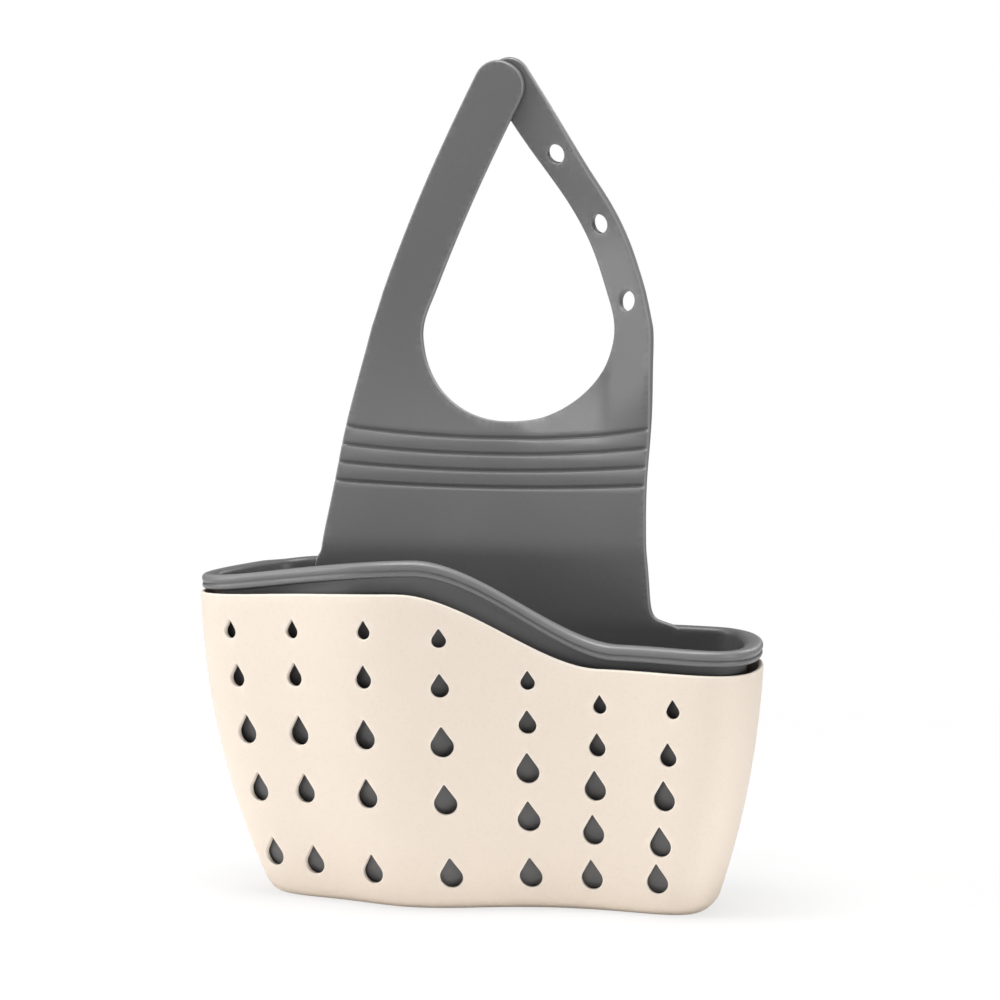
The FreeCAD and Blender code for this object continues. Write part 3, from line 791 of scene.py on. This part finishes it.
def seam(number):
    """Seam between two pieces of the strap, from its left edge to its right edge."""
    middle, rise = SEAMS[number]

    def height(across):
        return FACE.height(middle + rise * ((across - STRAP_MIDDLE) / STRAP_HALF) ** 2)

    ends = []
    for side in (LEFT_SIDE, RIGHT_SIDE):
        nearest = np.abs(side[:, 1] - height(side[:, 0])).argmin()
        level = side[nearest, 1]
        for _ in range(5):
            level = float(height(across_at(side, level)))
        ends.append(across_at(side, level))
    across = np.linspace(*ends, SEAM_STEPS)
    return np.column_stack([across, height(across)])


def band_border(low, high):
    """Border of the strap between two chains that run across it."""
    right = cut_edge(RIGHT_SIDE, low[-1, 1], high[-1, 1])
    left = cut_edge(LEFT_SIDE, low[0, 1], high[0, 1])
    return border_of(low, right, high[::-1], left[::-1])


def panel(material):
    """Upright foot of the strap against the liner's back wall, up to the lowest seam."""
    left, right = LEFT_SIDE[0], RIGHT_SIDE[0]
    foot = np.array([left, [left[0], PANEL_FOOT], [right[0], PANEL_FOOT], right])
    outer = band_border(even(foot, FOOT_SPACING), seam(0))

    def sink(points):
        return PANEL_SINK * (1 - ease((points[:, 1] - PANEL_FOOT) / PANEL_SINK_SPAN))

    return strap_piece("strap_panel", material, FACE.place, outer, sink=sink)


def fold(number, material):
    """Part of the strap round one fold groove."""
    low, high = seam(number), seam(number + 1)
    middle, sag = number * GROOVE_PITCH, GROOVE_SAGS[number]

    def groove(across):
        return middle + sag * ((across - STRAP_MIDDLE) / STRAP_HALF) ** 2

    def sink(points):
        away = np.abs(FACE.distance(points[:, 1]) - groove(points[:, 0])) / GROOVE_REACH
        left, right = (across_at(side, points[:, 1]) for side in (LEFT_SIDE, RIGHT_SIDE))
        from_edge = np.minimum(points[:, 0] - left, right - points[:, 0])
        full = GROOVE_END + (1 - GROOVE_END) * ease(from_edge / GROOVE_END_SPAN)
        return GROOVE_DEEP / 2 * (1 + np.cos(math.pi * np.clip(away, 0, 1))) * full

    across = np.linspace(low[0, 0], low[-1, 0], FOLD_STEPS)[1:-1]
    lines = []
    for offset in GROOVE_LINES:
        lines.append(np.column_stack([across, FACE.height(groove(across) + offset)]))
    return strap_piece(
        f"strap_fold_{number + 1}", material, yoke_place, band_border(low, high),
        lines=lines, inner=np.zeros((0, 2)), sink=sink)


def loop_arc(start, end):
    """Edge of the loop's round part between two angles from straight up, clockwise."""
    turns = np.radians(np.linspace(start, end, max(int(abs(end - start) / LOOP_STEP), 2)))
    return LOOP_CENTRE + LOOP_RADII * np.stack([np.sin(turns), np.cos(turns)], axis=1)


ARM_TURN = math.degrees(math.acos((ARM_SEAM - LOOP_CENTRE[1]) / LOOP_RADII[1]))


def yoke(material):
    """Strap above the grooves, round the lower half of the loop."""
    low = seam(4)
    right = cut_edge(RIGHT_SIDE, low[-1, 1], ARM_SEAM)
    left = cut_edge(LEFT_SIDE, low[0, 1], ARM_SEAM)
    arc = loop_arc(ARM_TURN, 360 - ARM_TURN)
    right_seam = np.linspace(right[-1], arc[0], ROOT_STEPS)
    left_seam = np.linspace(arc[-1], left[-1], ROOT_STEPS)
    outer = border_of(low, right, right_seam, arc, left_seam, left[::-1])
    return strap_piece("strap_yoke_band", material, yoke_place, outer)


def strip_sides(poles, width):
    """Centre line of an arm, its left side and its right side, upwards."""
    centre = spline(poles, 500)
    left = left_of(centre)
    return centre, centre + left * width / 2, centre - left * width / 2


def joined(first, second, low, high):
    """Edge that runs over from one chain to another between two heights; both run upwards."""
    heights = np.concatenate([first[first[:, 1] < high, 1], second[second[:, 1] >= high, 1]])
    slope = np.diff(first[-2:], axis=0)[0]
    beyond = first[-1] + slope * (JOIN_LENGTH / slope[1])
    longer = np.vstack([first, beyond])
    share = ease((heights - low) / (high - low))
    start, end = across_at(longer, heights), across_at(second, heights)
    return np.column_stack([(1 - share) * start + share * end, heights])


def round_tip(centre, width, square):
    """Tip of an arm from its right side over the end to its left side."""
    run = unit(centre[-1] - centre[-6])
    left = np.array([-run[1], run[0]])
    turns = np.linspace(0, math.pi, 34)[1:-1]
    across = np.sign(np.cos(turns)) * np.abs(np.cos(turns)) ** (2 / square)
    ahead = np.abs(np.sin(turns)) ** (2 / square)
    return centre[-1] + width / 2 * (ahead[:, None] * run - across[:, None] * left)


def arm_border(left, right, tip):
    """Border of an arm from its seam with the yoke round the tip and back."""
    root = np.linspace(left[0], right[0], ROOT_STEPS)
    around = np.vstack([right, tip, left[::-1]])
    return border_of(root, even(around, TIP_SPACING))


def loop_side(start, end, side):
    """Inner edge of an arm: the loop's round part between two angles, then the arm's side."""
    arc = loop_arc(start, end)
    return joined(arc[arc[:, 1] <= LOOP_CENTRE[1] + LOOP_USED], side, *INNER_JOIN)


def front_arm(material):
    """Left arm of the loop, which ends in front."""
    centre, left, right = strip_sides(FRONT_ARM, FRONT_ARM_WIDTH)
    outer = joined(cut_edge(LEFT_SIDE, ARM_SEAM, LEFT_SIDE[-1, 1]), left, *OUTER_JOIN)
    inner = loop_side(360 - ARM_TURN, 360 - LOOP_CUT, right)
    border = arm_border(outer, inner, round_tip(centre, FRONT_ARM_WIDTH, FRONT_TIP))
    return strap_piece("strap_front_arm", material, FACE.place, border)


REAR_CENTRE = spline((*REAR_ROOT, *REAR_ARM), 700)
REAR_ACROSS = left_of(REAR_CENTRE)


def twist_at(height):
    """Turn of the rear arm about its centre line, from the grooves to where it is buttoned."""
    begun = ease((height - TWIST_FROM) / TWIST_SPAN)
    return REAR_TWIST * begun * (1 - ease((height - UNTWIST_FROM) / UNTWIST_SPAN))


def rear_branch(flat, depth, share=1.0):
    """Places on the rear arm, or on its root with a share of its shift and of its turn."""
    nearest = ((flat[:, None, :] - REAR_CENTRE[None]) ** 2).sum(axis=2).argmin(axis=1)
    foot, left = REAR_CENTRE[nearest], REAR_ACROSS[nearest]
    turn = share * twist_at(foot[:, 1])
    half = REAR_ARM_WIDTH / 2
    spare = TWIST_SPARE * half
    reach = np.clip(((flat - foot) * left).sum(axis=1), -half, None)
    reach = np.where(reach > half, half + spare * np.tanh((reach - half) / spare), reach)

    def untwisted(points, below):
        front, behind = FACE.place(points, below), REAR_FACE.place(points, below)
        back = share * ease((points[:, 1] - REAR_FROM) / REAR_SPAN)
        return front + back[:, None] * (behind - front)

    base = untwisted(flat, depth)
    skin = untwisted(foot, 0.0)
    inward = untwisted(foot, 1.0) - skin
    leftward = untwisted(foot + left, 0.0) - skin
    sine, slack = np.sin(turn), 1 - np.cos(turn)
    below = depth - STRAP_THICK / 2
    base += (sine * reach - slack * below)[:, None] * inward
    base -= (slack * reach + sine * below)[:, None] * leftward
    return base


def yoke_place(flat, depth):
    """Places on the yoke and folds, whose right side leads into the rear arm."""
    return rear_branch(flat, depth, ease((flat[:, 0] - LOOP_CENTRE[0]) / YOKE_SPAN))


def bore_holes(centre):
    """Holes along the rear arm: one for the stud and spare ones below it."""
    start = lengths(centre)[-1] - np.linalg.norm(centre[-1] - np.array(STUD_PLACE))
    spares = points_at(centre, start - np.arange(1, BORE_SPARES + 1) * BORE_PITCH)
    away = circle_of(BORE_SIDES)
    return [(place + BORE_RADIUS * away, away) for place in (STUD_PLACE, *spares)]


def rear_arm(material):
    """Right arm of the loop, which ends behind and has the row of holes."""
    centre, left, right = strip_sides(REAR_ARM, REAR_ARM_WIDTH)
    outer = joined(cut_edge(RIGHT_SIDE, ARM_SEAM, RIGHT_SIDE[-1, 1]), right, *OUTER_JOIN)
    inner = loop_side(ARM_TURN, LOOP_CUT, left)
    border = arm_border(inner, outer, round_tip(centre, REAR_ARM_WIDTH, REAR_TIP))
    return strap_piece("strap_rear_arm", material, rear_branch, border, bore_holes(centre))


def snap_stud(material):
    """Stud on the back of the front arm."""
    moulding = Moulding()
    flat = np.array([STUD_PLACE])
    seat = FACE.place(flat, np.array([STRAP_THICK]))[0]
    out = unit(seat - FACE.place(flat, np.array([0.0]))[0])
    side = np.array([1.0, 0.0, 0.0])
    ring = circle_of(STUD_SIDES) @ np.stack([side, np.cross(out, side)])
    moulding.strips([seat + radius * ring + distance * out for radius, distance in STUD_SECTION])
    return moulding.piece("strap_stud", material)


# Materials

WHITE = (1.0, 1.0, 1.0, 1.0)
# Sockets of a mix node that hold colours
MIX_COLOURS, MIX_RESULT = slice(6, 8), 2
# Size of specks against the grain, strength of specks and of the painted highlight on edges, relief
# in metres
SPECK_SIZE = 0.45
SPECK_SHARE = 0.28
PAINTED_HIGHLIGHT_SHARE = 0.75
RELIEF = 0.0002


def feed(value, socket):
    """Gives an input a fixed value or the output of another node."""
    if isinstance(value, bpy.types.NodeSocket):
        socket.id_data.links.new(value, socket)
    else:
        socket.default_value = value


def set_inputs(item, **inputs):
    """Feeds inputs of a node by their names."""
    for name, value in inputs.items():
        feed(value, item.inputs[name.replace("_", " ")])


def node(tree, kind, **inputs):
    """New node with some of its inputs fed."""
    item = tree.nodes.new(kind)
    set_inputs(item, **inputs)
    return item


def multiplied(tree, first, second):
    """Product of two outputs or numbers."""
    item = tree.nodes.new("ShaderNodeMath")
    item.operation = "MULTIPLY"
    feed(first, item.inputs[0])
    feed(second, item.inputs[1])
    return item.outputs["Value"]


def scaled(tree, source, low, high):
    """A mask moved to run from low to high."""
    span = node(tree, "ShaderNodeMapRange", Value=source, To_Min=low, To_Max=high)
    return span.outputs["Result"]


def mix_colour(tree, share, first, second):
    """Colour between two others."""
    mix = tree.nodes.new("ShaderNodeMix")
    mix.data_type = "RGBA"
    feed(share, mix.inputs["Factor"])
    for colour, socket in zip((first, second), mix.inputs[MIX_COLOURS]):
        feed(colour, socket)
    return mix.outputs[MIX_RESULT]


def mould_texture_group():
    """Fine grain and slow drift of moulded surfaces: a height for bump and two masks."""
    group = bpy.data.node_groups.new("mould_texture", "ShaderNodeTree")
    for name in ("Grain Size", "Drift Size"):
        group.interface.new_socket(name, in_out="INPUT", socket_type="NodeSocketFloat")
    for name in ("Height", "Drift", "Speck"):
        group.interface.new_socket(name, in_out="OUTPUT", socket_type="NodeSocketFloat")
    sizes = group.nodes.new("NodeGroupInput").outputs
    place = group.nodes.new("ShaderNodeTexCoord").outputs["Object"]

    def noise(scale, **inputs):
        return node(group, "ShaderNodeTexNoise", Vector=place, Scale=scale, **inputs).outputs["Fac"]

    grain = noise(sizes["Grain Size"], Detail=3.0, Roughness=0.6)
    drift = noise(sizes["Drift Size"], Detail=2.0, Roughness=0.45)
    finer = multiplied(group, sizes["Grain Size"], SPECK_SIZE)
    speck = noise(finer, Detail=1.0, Roughness=0.4)
    pick = node(group, "ShaderNodeMapRange", Value=speck, From_Min=0.56, From_Max=0.68)
    node(group, "NodeGroupOutput", Height=grain, Drift=drift, Speck=pick.outputs["Result"])
    return group


def new_material(name):
    """New material, its node tree and its shader."""
    material = bpy.data.materials.new(name)
    material.use_nodes = True
    tree = material.node_tree
    return material, tree, tree.nodes["Principled BSDF"]


def moulded_material(name, tones, grain_size, drift_size, roughness, bump, specular):
    """Moulded surface: two close tones that drift, specks and a painted highlight along rounded
    edges.
    """
    material, tree, shader = new_material(name)
    grain = tree.nodes.new("ShaderNodeGroup")
    grain.node_tree = TEXTURE
    set_inputs(grain, Grain_Size=grain_size, Drift_Size=drift_size)
    height, drift, speck = grain.outputs
    edge = tree.nodes.new("ShaderNodeAttribute")
    edge.attribute_name = "edge"
    base, other, fleck, painted_highlight = ((*tone, 1.0) for tone in tones)
    colour = mix_colour(tree, drift, base, other)
    colour = mix_colour(tree, scaled(tree, speck, 0.0, SPECK_SHARE), colour, fleck)
    # Painted highlight: edges mixed towards the paler tone where the edge attribute is high
    highlight_share = scaled(tree, edge.outputs["Fac"], 0.0, PAINTED_HIGHLIGHT_SHARE)
    relief = node(tree, "ShaderNodeBump", Strength=bump, Distance=RELIEF, Height=height)
    set_inputs(
        shader, Base_Color=mix_colour(tree, highlight_share, colour, painted_highlight),
        Roughness=scaled(tree, drift, *roughness), Normal=relief.outputs["Normal"],
        Specular_IOR_Level=specular)
    return material


# Tones: the two that drift, specks and the painted highlight on edges
TEXTURE = mould_texture_group()
CREAM = moulded_material(
    "cream_plastic",
    ((0.855, 0.745, 0.635), (0.875, 0.770, 0.665), (0.80, 0.69, 0.575), (0.93, 0.85, 0.76)),
    grain_size=2600.0, drift_size=34.0, roughness=(0.5, 0.6), bump=0.25, specular=0.4)
GREY = moulded_material(
    "grey_rubber",
    ((0.112, 0.112, 0.1145), (0.127, 0.127, 0.129), (0.10, 0.10, 0.102), (0.27, 0.27, 0.27)),
    grain_size=3200.0, drift_size=40.0, roughness=(0.34, 0.42), bump=0.12, specular=0.5)


# Pieces, some on their bodies and some on none


def on_body(item, body, slot, *nodes):
    """Piece that moves with one body."""
    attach(item, body)
    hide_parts(*nodes)


def across_joint(item, bodies, start, end, *nodes):
    """Piece left where it was made, on no body, with its stand-in nodes hidden; start and end are
    heights on the strap's front face.
    """
    places = FACE.place(np.array([[STRAP_MIDDLE, start], [STRAP_MIDDLE, end]]), np.zeros(2)) * MM
    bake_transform(item)
    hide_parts(*nodes)


on_body(basket_shell(CREAM), "shell", "shell_plastic", "outer_basket")
on_body(liner_cup(GREY), "liner", "liner_rubber", "inner_basket")
on_body(panel(GREY), "liner", "liner_rubber", "inner_basket")
FOLD_BODIES = ("liner", "rib_lower", "rib_middle", "rib_upper", "yoke")
FOLD_NODES = ("hinge_rib_lower", "hinge_rib_middle", "hinge_rib_upper", "strap_yoke")
for number, stands_for in enumerate(FOLD_NODES):
    ends = FACE.height(np.array([SEAMS[number][0], SEAMS[number + 1][0]]))
    across_joint(fold(number, GREY), FOLD_BODIES[number:number + 2], ends[0], ends[1], stands_for)
on_body(yoke(GREY), "yoke", "liner_rubber", "strap_yoke")
across_joint(front_arm(GREY), ("yoke", "front_arm"), *ARM_BEND, "front_arm")
across_joint(rear_arm(GREY), ("yoke", "rear_arm"), *ARM_BEND, "rear_arm")
on_body(snap_stud(GREY), "front_arm", "liner_rubber", "snap_stud")


# Studio, in metres

FLOOR_REACH = 12.0
# View: angles in degrees, the place looked at and the distance from it, lens and shift
VIEW_TURN, VIEW_LIFT, VIEW_ROLL = 16.53, 5.32, -0.48
VIEW_TARGET = (0.0, 0.0, 0.117)
VIEW_DISTANCE = 1.1
VIEW_LENS, VIEW_SENSOR = 142.96, 36.0
VIEW_SHIFT = (0.0166, -0.0149)
VIEW_END = 50.0


def seen_white(tree, shader, share, kind):
    """Mixes plain white over a shader, by a share, for what the camera sees."""
    rays = tree.nodes.new("ShaderNodeLightPath").outputs["Is Camera Ray"]
    white = node(tree, kind, Color=WHITE, Strength=1.0)
    mix = node(tree, "ShaderNodeMixShader", Fac=multiplied(tree, rays, share))
    feed(shader, mix.inputs[1])
    feed(white.outputs[0], mix.inputs[2])
    return mix.outputs["Shader"]


def studio_floor():
    """Pale floor that fades to white away from the middle."""
    mesh = bpy.data.meshes.new("studio_floor")
    reach = FLOOR_REACH
    corners = [(-reach, -reach, 0), (reach, -reach, 0), (reach, reach, 0), (-reach, reach, 0)]
    mesh.from_pydata(corners, [], [(0, 1, 2, 3)])
    floor = placed("studio_floor", mesh)
    material, tree, shader = new_material("pale_floor")
    set_inputs(shader, Base_Color=(0.92, 0.92, 0.92, 1.0), Roughness=0.9, Specular_IOR_Level=0.1)
    away = tree.nodes.new("ShaderNodeVectorMath")
    away.operation = "LENGTH"
    feed(tree.nodes.new("ShaderNodeTexCoord").outputs["Object"], away.inputs[0])
    fade = node(
        tree, "ShaderNodeMapRange", Value=away.outputs["Value"], From_Min=0.12, From_Max=0.45,
        To_Min=0.72, To_Max=1.0)
    mixed = seen_white(tree, shader.outputs["BSDF"], fade.outputs["Result"], "ShaderNodeEmission")
    set_inputs(tree.nodes["Material Output"], Surface=mixed)
    mesh.materials.append(material)


def studio_world(strength):
    """Faint even light from all sides, seen as white."""
    world = bpy.data.worlds.new("studio")
    bpy.context.scene.world = world
    world.use_nodes = True
    tree = world.node_tree
    sky = tree.nodes["Background"]
    set_inputs(sky, Color=WHITE, Strength=strength)
    mixed = seen_white(tree, sky.outputs["Background"], 1.0, "ShaderNodeBackground")
    set_inputs(tree.nodes["World Output"], Surface=mixed)


def softbox(name, place, target, size, power):
    """Rectangular lamp that faces a target."""
    data = bpy.data.lights.new(name, "AREA")
    data.shape = "RECTANGLE"
    data.size, data.size_y = size
    data.energy = power
    lamp = placed(name, data)
    lamp.location = place
    lamp.rotation_euler = (Vector(target) - Vector(place)).to_track_quat("-Z", "Y").to_euler()


def photo_camera():
    """Camera at the photograph's viewing angle, for a square frame."""
    turn, lift, roll = (math.radians(angle) for angle in (VIEW_TURN, VIEW_LIFT, VIEW_ROLL))
    level = math.cos(lift)
    back = Vector((math.sin(turn) * level, -math.cos(turn) * level, math.sin(lift)))
    right = Vector((math.cos(turn), math.sin(turn), 0.0))
    up = back.cross(right)
    right, up = (
        right * math.cos(roll) + up * math.sin(roll), up * math.cos(roll) - right * math.sin(roll))
    data = bpy.data.cameras.new("photo_camera")
    data.lens, data.sensor_width = VIEW_LENS, VIEW_SENSOR
    data.shift_x, data.shift_y = VIEW_SHIFT
    data.clip_end = VIEW_END
    camera = placed("photo_camera", data)
    spot = Vector(VIEW_TARGET) + back * VIEW_DISTANCE
    camera.matrix_world = Matrix((*zip(right, up, back, spot), (0, 0, 0, 1)))
    bpy.context.scene.camera = camera


studio_floor()
studio_world(strength=0.05)
softbox("side_left", (-1.05, -0.4, 0.6), (0.0, 0.0, 0.14), size=(0.5, 1.2), power=6.9)
softbox("low_left", (-0.75, -0.3, 0.12), (0.0, 0.03, 0.16), size=(0.4, 0.2), power=1.0)
softbox("side_right", (1.2, -0.5, 0.1), (0.0, 0.0, 0.06), size=(0.9, 0.2), power=5.5)
softbox("low_front", (0.1, -1.3, 0.05), (0.0, 0.0, 0.04), size=(1.4, 0.1), power=1.3)
softbox("top", (0.0, 0.0, 1.3), (0.0, 0.0, 0.1), size=(0.9, 0.9), power=9.6)
softbox("top_near", (0.0, -0.16, 0.72), (0.0, 0.03, 0.2), size=(0.35, 0.3), power=2.4)
softbox("back_fill", (0.5, 1.3, 0.8), (0.0, 0.0, 0.12), size=(0.9, 0.7), power=5.0)
photo_camera()
bpy.context.scene.view_settings.view_transform = "Standard"
